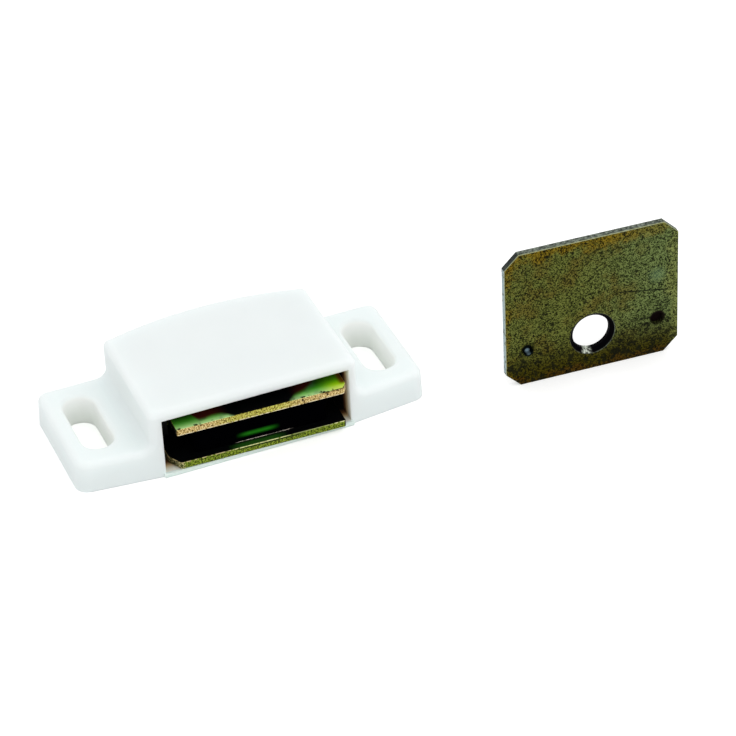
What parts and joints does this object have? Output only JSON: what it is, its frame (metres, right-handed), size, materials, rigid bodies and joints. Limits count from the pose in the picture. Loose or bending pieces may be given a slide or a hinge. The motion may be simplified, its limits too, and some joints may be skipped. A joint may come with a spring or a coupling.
{
  "type": "magnetic catch",
  "caption": "Magnetic cupboard catch: white moulded housing with slotted screw ears, a floating magnet between steel pole plates, and a countersunk steel strike plate.",
  "frame": {"origin": "in the mounting face, midway between the centres of the two screw slots", "axes": "+X along the housing from one screw ear to the other, towards the strike plate as it stands; -Y out of the mouth, towards the door; +Z off the mounting face"},
  "size_m": [0.0825, 0.0237, 0.0206],
  "materials": {
    "white_plastic": "white injection-moulded plastic, satin",
    "pole_steel": "steel sheet, dark iridescent yellow-chromate plating, olive, green and brown",
    "ferrite": "black sintered ferrite, matte",
    "strike_steel": "steel sheet, mottled olive-bronze yellow-chromate plating"
  },
  "bodies": {
    "housing": {"housing": "white_plastic"},
    "magnet_pack": {"lower_pole_plate": "pole_steel", "magnet": "ferrite", "upper_pole_plate": "pole_steel"},
    "strike": {"strike_plate": "strike_steel"}
  },
  "joints": [
    {"name": "pack_float", "type": "hinge", "parent": "housing", "child": "magnet_pack", "pos_m": [0.001, -0.00245, 0.00065], "axis": [0, 0, 1], "range_deg": [-0.2, 3.8]},
    {"name": "door_swing", "type": "hinge", "parent": "housing", "child": "strike", "pos_m": [0.02371, -0.01092, 0], "axis": [0, 0, 1], "range_deg": [-176.5, 0]}
  ]
}
